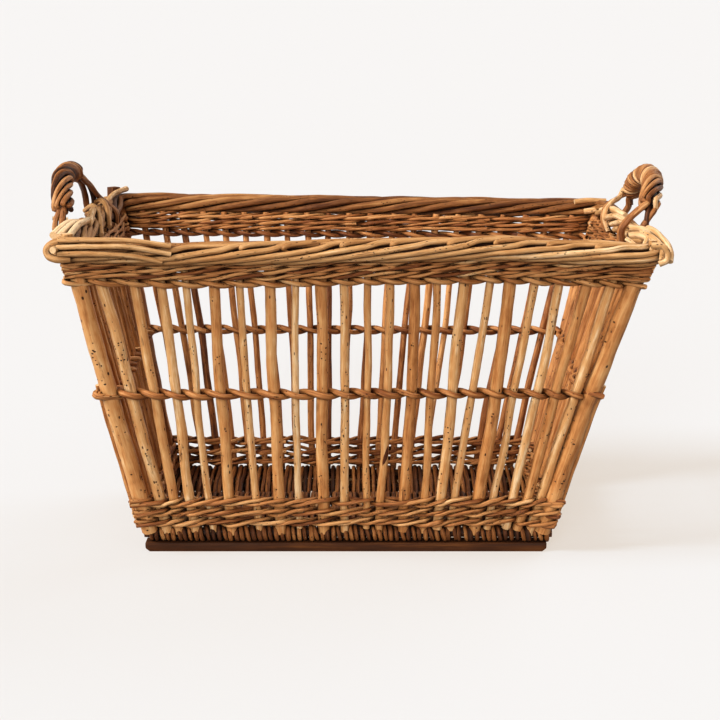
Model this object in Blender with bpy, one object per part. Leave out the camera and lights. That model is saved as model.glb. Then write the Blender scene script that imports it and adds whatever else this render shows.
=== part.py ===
"""Rectangular wicker basket with flared sides of upright stakes, two bow handles and two runners.

Metres, +Z up. X runs along the length, Y along the depth, the front faces -Y.
The origin is under the middle of the rim, at the underside of the runners.
"""
import math

import bmesh
import bpy
from mathutils import Vector

# Clearance between pieces that touch
GAP = 0.0003

# Walls: the stake line is the rectangle through the middles of the stakes
RIM_HEIGHT = 0.386
RIM_LENGTH = 0.639
RIM_DEPTH = 0.4075
FOOT_LENGTH = 0.4536
FOOT_DEPTH = 0.255
FOOT_SHIFT = -0.012

# Stakes and posts
LONG_SIDE_STAKES = 21
REAR_SIDE_STAKES = 21
END_STAKES = 13
THICK_STAKE = 0.0135
THIN_STAKE = 0.0090
REAR_STAKE = 0.0090
CORNER_POST = 0.0200
STAKE_FACETS = 6
TOP_DRIFT = 0.045
FOOT_DRIFT = 0.060
FOOT_CROWDING = 0.050
REAR_DRIFT = -0.035

# How far each front stake stands from its even place, left to right, in millimetres
FRONT_FOOT_SHIFTS = (-4, -12, -15, -17, -17, -8, -5, -6, 1, 3, 6, 0, 6, 7, 3, -2, 7, 2, 6, 1, 0)
FRONT_TOP_SHIFTS = (-9, 0, 0, -3, 0, -3, 3, 2, 2, -1, -4, -4, -6, -10, -6, -3, -8, -6, -5, 1, 3)

# Base
RUNNER_HEIGHT = 0.011
RUNNER_WIDTH = 0.022
RUNNER_CHAMFER = 0.004
BASE_THICKNESS = 0.0194
BASE_OVERHANG = 0.004
OUTER_STICK = 0.012
INNER_STICK = 0.009
INNER_STICK_COUNT = 3
STICK_INSET = 0.010
STICK_PROUD = 0.004

# Woven bands: each has a height, and a thickness across the stake line
WALE_THICKNESS = 0.028
UPSETT_HEIGHT = 0.0396
MID_FITCH_HEIGHT = 0.014
MID_FITCH_MIDDLE = 0.200
MID_FITCH_RISE = 0.009
MID_FITCH_THICKNESS = 0.026
UPPER_FITCH_HEIGHT = 0.010
TOP_WALE_HEIGHT = 0.018
BORDER_HEIGHT = 0.0267
BORDER_INNER = 0.009
BORDER_OUTER = 0.024
BORDER_CHAMFER = 0.008

# Handles
BOW_ROD = 0.008
BOW_WRAP = 0.027
BOW_RISE = 0.049
BOW_LEAN = 0.016
BOW_OUT = 0.014
BOW_LEG_INTERVALS = 3.5
BOW_LEG_ENTRY = 0.012
BOW_STEPS = 12
BOW_FACETS = 8

BASE_BOTTOM = RUNNER_HEIGHT + GAP
BASE_TOP = BASE_BOTTOM + BASE_THICKNESS
UPSETT_BOTTOM = BASE_TOP + GAP
STAKE_FOOT = BASE_TOP + GAP
BORDER_BOTTOM = RIM_HEIGHT - BORDER_HEIGHT
TOP_WALE_TOP = BORDER_BOTTOM - GAP
TOP_WALE_BOTTOM = TOP_WALE_TOP - TOP_WALE_HEIGHT
UPPER_FITCH_TOP = TOP_WALE_BOTTOM - GAP
UPPER_FITCH_BOTTOM = UPPER_FITCH_TOP - UPPER_FITCH_HEIGHT
STAKE_TOP = BORDER_BOTTOM - GAP

SIDES = {
    "front": Vector((0, -1, 0)),
    "rear": Vector((0, 1, 0)),
    "left": Vector((-1, 0, 0)),
    "right": Vector((1, 0, 0)),
}


def half_length(z):
    """Half the stake line's length at height z."""
    return (FOOT_LENGTH + (RIM_LENGTH - FOOT_LENGTH) * z / RIM_HEIGHT) / 2


def half_depth(z):
    """Half the stake line's depth at height z."""
    return (FOOT_DEPTH + (RIM_DEPTH - FOOT_DEPTH) * z / RIM_HEIGHT) / 2


def middle(z):
    """X of the basket's middle at height z: the foot sits a little to the left of the rim."""
    return FOOT_SHIFT * max(0.0, 1 - z / RIM_HEIGHT)


def wall_point(side, along, out, z):
    """Point on a wall: along runs -1 to 1 between the corner posts, out is measured from the stake line."""
    outward = SIDES[side]
    x = along * half_length(z) if outward.x == 0 else outward.x * (half_length(z) + out)
    y = along * half_depth(z) if outward.y == 0 else outward.y * (half_depth(z) + out)
    return Vector((x + middle(z), y, z))


def mitre_point(side, end, out, z):
    """Point on the mitre at one end of a wall, where the next wall's band meets this one."""
    outward = SIDES[side]
    reach_x = half_length(z) + out
    reach_y = half_depth(z) + out
    if outward.x == 0:
        return Vector((end * (reach_x - GAP) + middle(z), outward.y * reach_y, z))
    return Vector((outward.x * reach_x + middle(z), end * (reach_y - GAP), z))


def willow(name, colour, roughness=0.6):
    """Material of one sub-part."""
    material = bpy.data.materials.new(name + "_finish")
    material.use_nodes = True
    shader = material.node_tree.nodes["Principled BSDF"]
    shader.inputs["Base Color"].default_value = (*colour, 1)
    shader.inputs["Roughness"].default_value = roughness
    shader.inputs["Metallic"].default_value = 0.0
    material.diffuse_color = (*colour, 1)
    return material


WILLOW = (0.47, 0.23, 0.08)
WEAVE = (0.42, 0.20, 0.07)
BORDER = (0.48, 0.26, 0.10)
HANDLE = (0.33, 0.15, 0.05)
DARK_WOOD = (0.07, 0.03, 0.012)


def new_object(name, mesh, colour):
    """Object at the origin with its mesh in place."""
    item = bpy.data.objects.new(name, mesh)
    bpy.context.scene.collection.objects.link(item)
    item.data.materials.append(willow(name, colour))
    return item


def mesh_from(name, solid, smooth_angle=None):
    """Mesh from a bmesh, with its faces pointing outwards."""
    bmesh.ops.recalc_face_normals(solid, faces=solid.faces)
    mesh = bpy.data.meshes.new(name)
    solid.to_mesh(mesh)
    solid.free()
    if smooth_angle:
        mesh.shade_smooth()
        mesh.set_sharp_from_angle(angle=math.radians(smooth_angle))
    return mesh


def add_prism(solid, foot, top, diameter, facets=STAKE_FACETS):
    """Straight rod with level ends, leaning from foot to top."""
    radius = diameter / 2
    rings = []
    for centre in (foot, top):
        ring = []
        for k in range(facets):
            turn = 2 * math.pi * (k + 0.5) / facets
            ring.append(solid.verts.new(centre + Vector((math.cos(turn), math.sin(turn), 0)) * radius))
        rings.append(ring)
    for k in range(facets):
        n = (k + 1) % facets
        solid.faces.new((rings[0][k], rings[0][n], rings[1][n], rings[1][k]))
    solid.faces.new(rings[0])
    solid.faces.new(rings[1])


def cutter(name, mesh):
    """Guide object that only cuts or joins others."""
    item = bpy.data.objects.new(name, mesh)
    bpy.context.scene.collection.objects.link(item)
    item.hide_render = True
    item.display_type = "WIRE"
    return item


def boolean(item, tool, operation="DIFFERENCE"):
    """Live exact Boolean."""
    change = item.modifiers.new(operation.lower() + "_" + tool.name, "BOOLEAN")
    change.operation = operation
    change.solver = "EXACT"
    change.object = tool


# --- stakes -----------------------------------------------------------------

def stake_places(side):
    """(along, diameter) of each stake between the corner posts of one side."""
    if side == "rear":
        count = REAR_SIDE_STAKES
        return [(2 * (k + 1) / (count + 1) - 1, REAR_STAKE) for k in range(count)]
    count = LONG_SIDE_STAKES if side == "front" else END_STAKES
    centre = count // 2
    places = []
    for k in range(count):
        thick = k % 2 == 0 and not (side == "front" and k == centre)
        places.append((2 * (k + 1) / (count + 1) - 1, THICK_STAKE if thick else THIN_STAKE))
    return places


def drifted(side, along):
    """Shares at which a stake stands at its foot and its top: the long rows are set unevenly by hand."""
    room = 1 - along ** 2
    if side == "rear":
        return along + room * REAR_DRIFT, along + room * REAR_DRIFT
    if side != "front":
        return along, along
    number = round((along + 1) / 2 * (LONG_SIDE_STAKES + 1)) - 1
    foot_shift = FRONT_FOOT_SHIFTS[number % len(FRONT_FOOT_SHIFTS)] / 1000
    top_shift = FRONT_TOP_SHIFTS[number % len(FRONT_TOP_SHIFTS)] / 1000
    foot = along + room * (FOOT_DRIFT + FOOT_CROWDING * along) + foot_shift / half_length(STAKE_FOOT)
    top = along + room * TOP_DRIFT + top_shift / half_length(STAKE_TOP)
    return foot, top


def add_stake(solid, side, along, diameter, spare=0.0):
    """One stake; spare widens and lengthens it into the channel that it stands in."""
    foot_along, top_along = drifted(side, along)
    foot = wall_point(side, foot_along, 0, STAKE_FOOT)
    top = wall_point(side, top_along, 0, STAKE_TOP)
    reach = (top - foot).normalized() * 3 * spare
    add_prism(solid, foot - reach, top + reach, diameter + 2 * spare)


def add_post(solid, x_end, y_end, spare=0.0):
    """One corner post, whose stump reaches into the border's corner."""
    reach = 3 * spare
    low = STAKE_FOOT - reach
    high = STAKE_TOP + reach
    foot = Vector((x_end * half_length(low) + middle(low), y_end * half_depth(low), low))
    top = Vector((x_end * half_length(high) + middle(high), y_end * half_depth(high), high))
    add_prism(solid, foot, top, CORNER_POST + 2 * spare, facets=8)


def channels(side):
    """Cutter for the stakes of one side, wider than them by the clearance."""
    solid = bmesh.new()
    for along, diameter in stake_places(side):
        add_stake(solid, side, along, diameter, spare=GAP)
    return cutter(side + "_channels", mesh_from(side + "_channels", solid))


def post_channels():
    """Cutter for the four corner posts."""
    solid = bmesh.new()
    for x_end in (-1, 1):
        for y_end in (-1, 1):
            add_post(solid, x_end, y_end, spare=GAP)
    return cutter("post_channels", mesh_from("post_channels", solid))


def build_front_stakes():
    """The front wall's stakes, each one a piece of its own."""
    for number, (along, diameter) in enumerate(stake_places("front"), start=1):
        solid = bmesh.new()
        add_stake(solid, "front", along, diameter)
        name = f"front_stake_{number:02d}"
        new_object(name, mesh_from(name, solid, smooth_angle=70), WILLOW)


def build_corner_posts():
    """The four corner posts."""
    for x_word, x_end in (("left", -1), ("right", 1)):
        for y_word, y_end in (("front", -1), ("rear", 1)):
            solid = bmesh.new()
            add_post(solid, x_end, y_end)
            name = f"corner_post_{y_word}_{x_word}"
            new_object(name, mesh_from(name, solid, smooth_angle=60), WILLOW)


# --- woven bands ------------------------------------------------------------

def bar_solid(side, section, rise=(0, 0)):
    """Bar along one side with mitred ends; section is a ring of (out, z) points, rise lifts each end."""
    solid = bmesh.new()
    rings = []
    for end, lift in zip((-1, 1), rise):
        rings.append([solid.verts.new(mitre_point(side, end, out, z + lift)) for out, z in section])
    count = len(section)
    for k in range(count):
        n = (k + 1) % count
        solid.faces.new((rings[0][k], rings[0][n], rings[1][n], rings[1][k]))
    solid.faces.new(rings[0])
    solid.faces.new(rings[1])
    return solid


def band_section(bottom, top, thickness):
    """Upright band that follows the wall's lean."""
    half = thickness / 2
    return [(-half, bottom), (half, bottom), (half, top), (-half, top)]


def border_section():
    """Border with its long edges taken off."""
    low, high, cut = BORDER_BOTTOM, RIM_HEIGHT, BORDER_CHAMFER
    inner, outer = -BORDER_INNER, BORDER_OUTER
    return [
        (inner + cut, low), (outer - cut, low), (outer, low + cut), (outer, high - cut),
        (outer - cut, high), (inner + cut, high), (inner, high - cut), (inner, low + cut),
    ]


def mid_fitch_solid(side):
    """Mid fitch of one side, which climbs a little from the front wall to the rear wall."""
    low = MID_FITCH_MIDDLE - MID_FITCH_HEIGHT / 2
    rise = {"front": (0, 0), "rear": (MID_FITCH_RISE, MID_FITCH_RISE)}.get(side, (0, MID_FITCH_RISE))
    return bar_solid(side, band_section(low, low + MID_FITCH_HEIGHT, MID_FITCH_THICKNESS), rise)


def build_band(name, solid, tools, colour):
    """Band on one side, with the channels that its stakes pass through."""
    item = new_object(name, mesh_from(name, solid, smooth_angle=30), colour)
    for tool in tools:
        boolean(item, tool)
    return item


def build_wall_grid(side, posts):
    """Stakes of a side joined with the mid fitch that is twined round them."""
    name = side + "_stakes"
    fitch = cutter(side + "_fitch_guide", mesh_from(side + "_fitch_guide", mid_fitch_solid(side)))
    solid = bmesh.new()
    for along, diameter in stake_places(side):
        add_stake(solid, side, along, diameter)
    item = new_object(name, mesh_from(name, solid, smooth_angle=70), WILLOW)
    boolean(item, fitch, "UNION")
    boolean(item, posts)


# --- base -------------------------------------------------------------------

def add_box(solid, low, high):
    """Box between two corners."""
    corners = []
    for x in (low[0], high[0]):
        for y in (low[1], high[1]):
            for z in (low[2], high[2]):
                corners.append(solid.verts.new((x, y, z)))
    for a, b, c, d in ((0, 1, 3, 2), (4, 5, 7, 6), (0, 1, 5, 4), (2, 3, 7, 6), (0, 2, 6, 4), (1, 3, 7, 5)):
        solid.faces.new((corners[a], corners[b], corners[c], corners[d]))


def base_half_length():
    """Half the woven base's length."""
    return half_length(BASE_TOP) + BASE_OVERHANG


def base_half_depth():
    """Half the woven base's depth."""
    return half_depth(BASE_TOP) + BASE_OVERHANG


def stick_rows():
    """(name, y, diameter) of each base stick, front to rear."""
    edge = base_half_depth() - STICK_INSET
    rows = [("base_stick_front", -edge, OUTER_STICK)]
    for k in range(INNER_STICK_COUNT):
        y = edge * (2 * (k + 1) / (INNER_STICK_COUNT + 1) - 1)
        rows.append((f"base_stick_{k + 1}", y, INNER_STICK))
    rows.append(("base_stick_rear", edge, OUTER_STICK))
    return rows


def add_stick(solid, y, diameter, spare=0.0):
    """Round stick along X through the middle of the base."""
    reach = base_half_length() + STICK_PROUD + 3 * spare
    radius = diameter / 2 + spare
    height = (BASE_BOTTOM + BASE_TOP) / 2
    facets = 10
    rings = []
    for end in (-reach, reach):
        ring = []
        for k in range(facets):
            turn = 2 * math.pi * (k + 0.5) / facets
            place = (middle(0) + end, y + radius * math.cos(turn), height + radius * math.sin(turn))
            ring.append(solid.verts.new(place))
        rings.append(ring)
    for k in range(facets):
        n = (k + 1) % facets
        solid.faces.new((rings[0][k], rings[0][n], rings[1][n], rings[1][k]))
    solid.faces.new(rings[0])
    solid.faces.new(rings[1])


def build_base():
    """Base sticks, and the weave with a channel for each of them."""
    holes = bmesh.new()
    for name, y, diameter in stick_rows():
        solid = bmesh.new()
        add_stick(solid, y, diameter)
        new_object(name, mesh_from(name, solid, smooth_angle=60), WILLOW)
        add_stick(holes, y, diameter, spare=GAP)
    stick_channels = cutter("stick_channels", mesh_from("stick_channels", holes))
    solid = bmesh.new()
    reach_x, reach_y = base_half_length(), base_half_depth()
    add_box(solid, (middle(0) - reach_x, -reach_y, BASE_BOTTOM), (middle(0) + reach_x, reach_y, BASE_TOP))
    weave = new_object("base_weave", mesh_from("base_weave", solid), WEAVE)
    boolean(weave, stick_channels)


def build_runners():
    """Two wooden strips that the basket stands on, with chamfered ends."""
    for word, sign in (("front", -1), ("rear", 1)):
        solid = bmesh.new()
        reach = base_half_length()
        outer = sign * base_half_depth()
        inner = outer - sign * RUNNER_WIDTH
        outline = [
            (-reach + RUNNER_CHAMFER, 0), (reach - RUNNER_CHAMFER, 0), (reach, RUNNER_CHAMFER),
            (reach, RUNNER_HEIGHT), (-reach, RUNNER_HEIGHT), (-reach, RUNNER_CHAMFER),
        ]
        rings = []
        for y in (outer, inner):
            rings.append([solid.verts.new((middle(0) + x, y, z)) for x, z in outline])
        for k in range(len(outline)):
            n = (k + 1) % len(outline)
            solid.faces.new((rings[0][k], rings[0][n], rings[1][n], rings[1][k]))
        solid.faces.new(rings[0])
        solid.faces.new(rings[1])
        name = word + "_runner"
        new_object(name, mesh_from(name, solid), DARK_WOOD)


# --- handles ----------------------------------------------------------------

def leg_along():
    """Where a bow's legs stand, as a share of the half depth: midway between two end stakes."""
    return 2 * BOW_LEG_INTERVALS / (END_STAKES + 1)


def bow_path(end):
    """Points of the arch above the border, from the front leg to the rear leg."""
    foot = RIM_HEIGHT + GAP
    points = []
    for k in range(BOW_STEPS + 1):
        turn = math.pi * k / BOW_STEPS
        y = -leg_along() * half_depth(RIM_HEIGHT) * math.cos(turn)
        x = half_length(RIM_HEIGHT) + BOW_OUT + BOW_LEAN * math.sin(turn) ** 2
        points.append(Vector((end * x, y, foot + BOW_RISE * math.sin(turn))))
    return points


def leg_tip(end, y_end):
    """Tip of one leg, inside the top wale."""
    side = "left" if end < 0 else "right"
    return wall_point(side, y_end * leg_along(), 0, TOP_WALE_BOTTOM + TOP_WALE_HEIGHT - BOW_LEG_ENTRY)


def ring_frame(point, tangent):
    """A point with two directions across the path there."""
    across = Vector((1, 0, 0))
    across = (across - tangent * across.dot(tangent)).normalized()
    return point, across, tangent.cross(across)


def arch_frames(end):
    """Frames along the arch; its first and last rings are level."""
    points = bow_path(end)
    frames = [ring_frame(points[0], Vector((0, 0, 1)))]
    for before, point, after in zip(points, points[1:], points[2:]):
        frames.append(ring_frame(point, (after - before).normalized()))
    frames.append(ring_frame(points[-1], Vector((0, 0, -1))))
    return frames


def add_rings(solid, frames, radius):
    """Rings of vertices round a path."""
    rings = []
    for point, across, other in frames:
        ring = []
        for k in range(BOW_FACETS):
            turn = 2 * math.pi * k / BOW_FACETS
            ring.append(solid.verts.new(point + (across * math.cos(turn) + other * math.sin(turn)) * radius))
        rings.append(ring)
    return rings


def skin(solid, rings):
    """Faces between neighbouring rings."""
    for low, high in zip(rings, rings[1:]):
        for k in range(len(low)):
            n = (k + 1) % len(low)
            solid.faces.new((low[k], low[n], high[n], high[k]))


def add_bow_rod(solid, end, spare=0.0):
    """Bow rod with its two legs."""
    front = ring_frame(leg_tip(end, -1), Vector((0, 0, 1)))
    rear = ring_frame(leg_tip(end, 1), Vector((0, 0, -1)))
    rings = add_rings(solid, [front] + arch_frames(end) + [rear], BOW_ROD / 2 + spare)
    skin(solid, rings)
    solid.faces.new(rings[0])
    solid.faces.new(rings[-1])


def bow_channels():
    """Cutter for the bow legs in the end borders and top wales."""
    solid = bmesh.new()
    for end in (-1, 1):
        add_bow_rod(solid, end, spare=GAP)
    return cutter("bow_channels", mesh_from("bow_channels", solid))


def build_handles():
    """Bow rods, and the twisted wrap round each arch as a thick tube."""
    for word, end in (("left", -1), ("right", 1)):
        solid = bmesh.new()
        add_bow_rod(solid, end)
        name = word + "_handle_bow"
        new_object(name, mesh_from(name, solid, smooth_angle=60), HANDLE)
        solid = bmesh.new()
        frames = arch_frames(end)
        outer = add_rings(solid, frames, BOW_WRAP / 2)
        inner = add_rings(solid, frames, BOW_ROD / 2 + GAP)
        skin(solid, outer)
        skin(solid, inner)
        for k in range(BOW_FACETS):
            n = (k + 1) % BOW_FACETS
            solid.faces.new((outer[0][k], outer[0][n], inner[0][n], inner[0][k]))
            solid.faces.new((outer[-1][k], outer[-1][n], inner[-1][n], inner[-1][k]))
        name = word + "_handle_wrap"
        new_object(name, mesh_from(name, solid, smooth_angle=60), HANDLE)


def build():
    """Whole basket."""
    for item in list(bpy.data.objects):
        bpy.data.objects.remove(item)
    posts = post_channels()
    bows = bow_channels()
    build_runners()
    build_base()
    build_corner_posts()
    build_front_stakes()
    for side in ("rear", "left", "right"):
        build_wall_grid(side, posts)
    bands = (
        ("upsett_wale", band_section(UPSETT_BOTTOM, UPSETT_BOTTOM + UPSETT_HEIGHT, WALE_THICKNESS), WEAVE),
        ("upper_fitch", band_section(UPPER_FITCH_BOTTOM, UPPER_FITCH_TOP, WALE_THICKNESS), WEAVE),
        ("top_wale", band_section(TOP_WALE_BOTTOM, TOP_WALE_TOP, WALE_THICKNESS), WEAVE),
    )
    for side in SIDES:
        side_channels = channels(side)
        bow_tools = [bows] if side in ("left", "right") else []
        for word, section, colour in bands:
            tools = [side_channels, posts]
            if word == "top_wale":
                tools = tools + bow_tools
            build_band(f"{side}_{word}", bar_solid(side, section), tools, colour)
        build_band(side + "_rim_border", bar_solid(side, border_section()), bow_tools, BORDER)
        if side == "front":
            build_band("front_mid_fitch", mid_fitch_solid(side), [side_channels, posts], WEAVE)
    build_handles()


build()
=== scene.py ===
# %% [markdown]
# # A wicker log basket
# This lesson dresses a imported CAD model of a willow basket. The CAD gives the sizes: the rods
# that are made here lie where its solids are, to within a few millimetres, and stand for them.

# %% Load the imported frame
import math
import random

import bpy
import numpy as np
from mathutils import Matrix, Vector


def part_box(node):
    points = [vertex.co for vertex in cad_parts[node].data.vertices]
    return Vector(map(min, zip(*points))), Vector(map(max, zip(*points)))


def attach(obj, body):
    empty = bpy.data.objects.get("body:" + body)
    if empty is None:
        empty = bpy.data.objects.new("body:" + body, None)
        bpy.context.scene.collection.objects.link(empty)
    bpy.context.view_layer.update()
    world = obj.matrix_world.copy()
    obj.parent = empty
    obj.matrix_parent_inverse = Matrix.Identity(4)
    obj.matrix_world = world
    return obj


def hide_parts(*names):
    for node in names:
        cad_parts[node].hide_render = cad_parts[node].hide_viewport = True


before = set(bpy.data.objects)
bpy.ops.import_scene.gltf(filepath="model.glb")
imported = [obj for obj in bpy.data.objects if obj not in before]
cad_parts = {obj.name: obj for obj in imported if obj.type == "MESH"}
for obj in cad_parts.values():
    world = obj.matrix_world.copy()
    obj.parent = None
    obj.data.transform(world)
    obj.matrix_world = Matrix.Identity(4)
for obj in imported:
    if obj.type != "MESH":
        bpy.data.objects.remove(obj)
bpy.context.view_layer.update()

scene = bpy.context.scene

# %% [markdown]
# ## Colours
# Peeled willow goes from cream through tan to a deep red brown. Screen colours are easier to
# judge, and the shader wants linear ones, so one helper turns the first into the second.


# %% Screen colours
def screen(red, green, blue):
    """Linear colour of a screen colour given from 0 to 255."""
    parts = []
    for value in (red, green, blue):
        share = value / 255
        parts.append(share / 12.92 if share <= 0.04045 else ((share + 0.055) / 1.055) ** 2.4)
    return (*parts, 1.0)


print("screen grey 128 is", round(screen(128, 128, 128)[0], 3), "in linear light")

# %% [markdown]
# ## A small notation for shader maths
# A procedural finish is a sum of masks. Written as Python, `1 - mask` or `grain * 0.4` is far
# easier to read than a list of Math nodes, so a thin class wraps a socket and adds the node
# that each operator stands for.


# %% Sockets that can be added and multiplied
class Value:
    """A number that varies over the surface: one output socket of a material's nodes."""

    def __init__(self, finish, socket):
        self.finish, self.socket = finish, socket

    def math(self, operation, first, second):
        return self.finish.node("Math", {"operation": operation}, {0: first, 1: second})

    def __add__(self, other):
        return self.math("ADD", self, other)

    def __sub__(self, other):
        return self.math("SUBTRACT", self, other)

    def __rsub__(self, other):
        return self.math("SUBTRACT", other, self)

    def __mul__(self, other):
        return self.math("MULTIPLY", self, other)

    __radd__ = __add__
    __rmul__ = __mul__


class Finish:
    """A material with one Principled shader, and the methods that add its nodes."""

    def __init__(self, name):
        self.material = bpy.data.materials.new(name)
        self.material.use_nodes = True
        self.nodes = self.material.node_tree.nodes
        self.links = self.material.node_tree.links
        self.shader = self.nodes["Principled BSDF"]
        self.shader.inputs["Specular IOR Level"].default_value = 0.3

    def feed(self, socket, value):
        """Links a Value, or sets a plain number or colour."""
        if isinstance(value, Value):
            self.links.new(value.socket, socket)
        else:
            socket.default_value = value

    def node(self, kind, settings=None, inputs=None, output=0):
        """Adds a node: its settings first, then what its sockets take."""
        made = self.nodes.new("ShaderNode" + kind)
        for key, value in (settings or {}).items():
            if key == "stops":
                ramp = made.color_ramp
                while len(ramp.elements) < len(value):
                    ramp.elements.new(0.5)
                for element, (place, colour) in zip(ramp.elements, value):
                    element.position, element.color = place, colour
            else:
                setattr(made, key, value)
        for key, value in (inputs or {}).items():
            self.feed(made.inputs[key], value)
        return Value(self, made.outputs[output])

    def step(self, value, low, high):
        """Smooth step from 0 at low to 1 at high."""
        smooth = {"interpolation_type": "SMOOTHSTEP"}
        return self.node("MapRange", smooth, {0: value, 1: low, 2: high})

    def noise(self, vector, scale, detail=2.0, roughness=0.5):
        sockets = {"Vector": vector, "Scale": scale, "Detail": detail, "Roughness": roughness}
        return self.node("TexNoise", {}, sockets)

    def spots(self, vector):
        """Distance to the nearest of scattered points."""
        sockets = {"Vector": vector, "Scale": 1.0, "Randomness": 1.0}
        return self.node("TexVoronoi", {"feature": "F1"}, sockets)

    def blend(self, factor, first, second):
        """Mixes two colours."""
        made = self.nodes.new("ShaderNodeMix")
        made.data_type = "RGBA"
        for key, value in ((0, factor), (6, first), (7, second)):
            self.feed(made.inputs[key], value)
        return Value(self, made.outputs[2])

    def finish(self, colour, roughness, height, depth):
        """Feeds the shader; height is in shares of depth, which is in metres."""
        self.feed(self.shader.inputs["Base Color"], colour)
        self.feed(self.shader.inputs["Roughness"], roughness)
        normal = self.node("Bump", {}, {"Strength": 1.0, "Distance": depth, "Height": height})
        self.feed(self.shader.inputs["Normal"], normal)
        return self.material


# %% [markdown]
# ## Willow
# A willow rod has fibres that run its length, a broader streaking where bark has stained it,
# and small dark scars where side shoots were. Every rod has its own colour, which a `tone`
# attribute carries, and its own map: U is metres along the rod and V goes once round it. The
# noise reads a circle made from V, so that it has no seam.

# %% Willow finish
BARK = screen(64, 30, 12)
SCAR = screen(44, 18, 8)
# Deep brown painted as shade into the crevices where rods meet
PAINTED_SHADE = screen(30, 11, 3)
TONES = (0.0, 0.3, 0.55, 0.8, 1.0)
PATTERN_STRIDE = 917.0
# How far the ambient occlusion reaches for that painted shade
CREVICE_SHADE_REACH = 0.008
WILLOW_RELIEF = 0.0011


def willow(name, colours, least_roughness, crevice_shade):
    """Finish of one kind of rod: screen colours by tone, and how strong the painted shade is where
    rods meet.
    """
    f = Finish(name)
    tone = f.node("Attribute", {"attribute_name": "tone"}, output=2)
    place = f.node("UVMap", {"uv_map": "UVMap"})
    split = f.nodes.new("ShaderNodeSeparateXYZ")
    f.feed(split.inputs[0], place)
    along, turn = Value(f, split.outputs[0]), Value(f, split.outputs[1]) * (2 * math.pi)
    across = f.node("Math", {"operation": "COSINE"}, {0: turn})
    over = f.node("Math", {"operation": "SINE"}, {0: turn})
    apart = tone * PATTERN_STRIDE

    def lengthwise(round_scale, along_scale):
        """Place on the rod for a pattern stretched along it."""
        sockets = {0: across * round_scale, 1: over * round_scale, 2: along * along_scale + apart}
        return f.node("CombineXYZ", {}, sockets)

    streaks = f.noise(lengthwise(1.3, 14.0), 1.0, 3.0, 0.6)
    fibres = f.noise(lengthwise(6.0, 40.0), 1.0, 3.0, 0.65)
    blotches = f.noise(lengthwise(0.8, 55.0), 1.0, 2.0)
    specks = f.spots(lengthwise(1.3, 210.0))
    knots = f.spots(lengthwise(0.9, 60.0))
    clustered = f.step(f.noise(lengthwise(0.7, 21.0), 1.0, 1.0), 0.56, 0.60)
    lonely = f.step(f.noise(lengthwise(0.6, 33.0), 1.0, 1.0), 0.50, 0.54)
    scar = f.step(specks, 0.26, 0.17) * clustered + f.step(knots, 0.16, 0.09) * lonely
    shade = tone + (streaks - 0.5) * 0.80 + (blotches - 0.5) * 0.46 + (fibres - 0.5) * 0.55
    stops = [(at, screen(*colour)) for at, colour in zip(TONES, colours)]
    colour = f.node("ValToRGB", {"stops": stops}, {0: shade})
    stain = f.step(f.noise(lengthwise(0.9, 23.0), 1.0, 4.0, 0.7), 0.58, 0.72)
    colour = f.blend(stain * 0.6, colour, BARK)
    colour = f.blend(f.step(scar, 0.0, 1.0) * 0.92, colour, SCAR)
    # Painted shade: the colour goes towards deep brown where the ambient occlusion finds rods close
    # by, in the crevices between them
    openness = f.node("AmbientOcclusion", {"samples": 4}, {"Distance": CREVICE_SHADE_REACH}, output=1)
    colour = f.blend(f.step(openness, 0.78, 0.25) * crevice_shade, colour, PAINTED_SHADE)
    height = fibres * 0.7 + streaks * 0.5 - scar * 0.5
    return f.finish(colour, (1 - fibres) * 0.2 + least_roughness, height, WILLOW_RELIEF)


stake_willow = willow("stake_willow", (
    (84, 42, 16), (148, 92, 46), (196, 138, 84), (218, 170, 116), (240, 210, 168)), 0.40, 0.45)
weave_willow = willow("weave_willow", (
    (70, 34, 14), (134, 80, 40), (188, 130, 78), (214, 164, 110), (238, 204, 158)), 0.42, 0.92)
# The base's stops are darker than the walls': painted shade on the base, which lies inside and
# under the basket
base_willow = willow("base_willow", (
    (40, 18, 6), (96, 54, 24), (152, 98, 52), (188, 134, 82), (222, 178, 128)), 0.46, 1.0)
border_willow = willow("border_willow", (
    (84, 46, 20), (138, 90, 48), (180, 132, 82), (206, 162, 112), (238, 208, 168)), 0.46, 0.80)
handle_willow = willow("handle_willow", (
    (52, 24, 8), (112, 66, 32), (166, 112, 66), (206, 158, 108), (238, 206, 164)), 0.42, 1.0)
willows = (stake_willow, weave_willow, base_willow, border_willow, handle_willow)
print("willow finishes:", [material.name for material in willows])

# %% [markdown]
# A rod that was cut across shows its pale wood, with rings round a small pith. The cut faces
# are flat and small, so rings about the face's own middle aren't worth a map: mottled cream is
# enough at this size.

# %% Cut ends
def cut_wood(name):
    f = Finish(name)
    place = f.node("TexCoord", {}, output=3)
    mottle = f.noise(place, scale=900.0)
    colour = f.blend(mottle, screen(238, 210, 168), screen(190, 144, 96))
    return f.finish(colour, mottle * 0.2 + 0.6, mottle, depth=0.0004)


cut_end = cut_wood("cut_end")
print("finish of the cut ends:", cut_end.name)

# %% [markdown]
# The runners are sawn strips, stained almost black brown, with a coarse straight grain.

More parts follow.
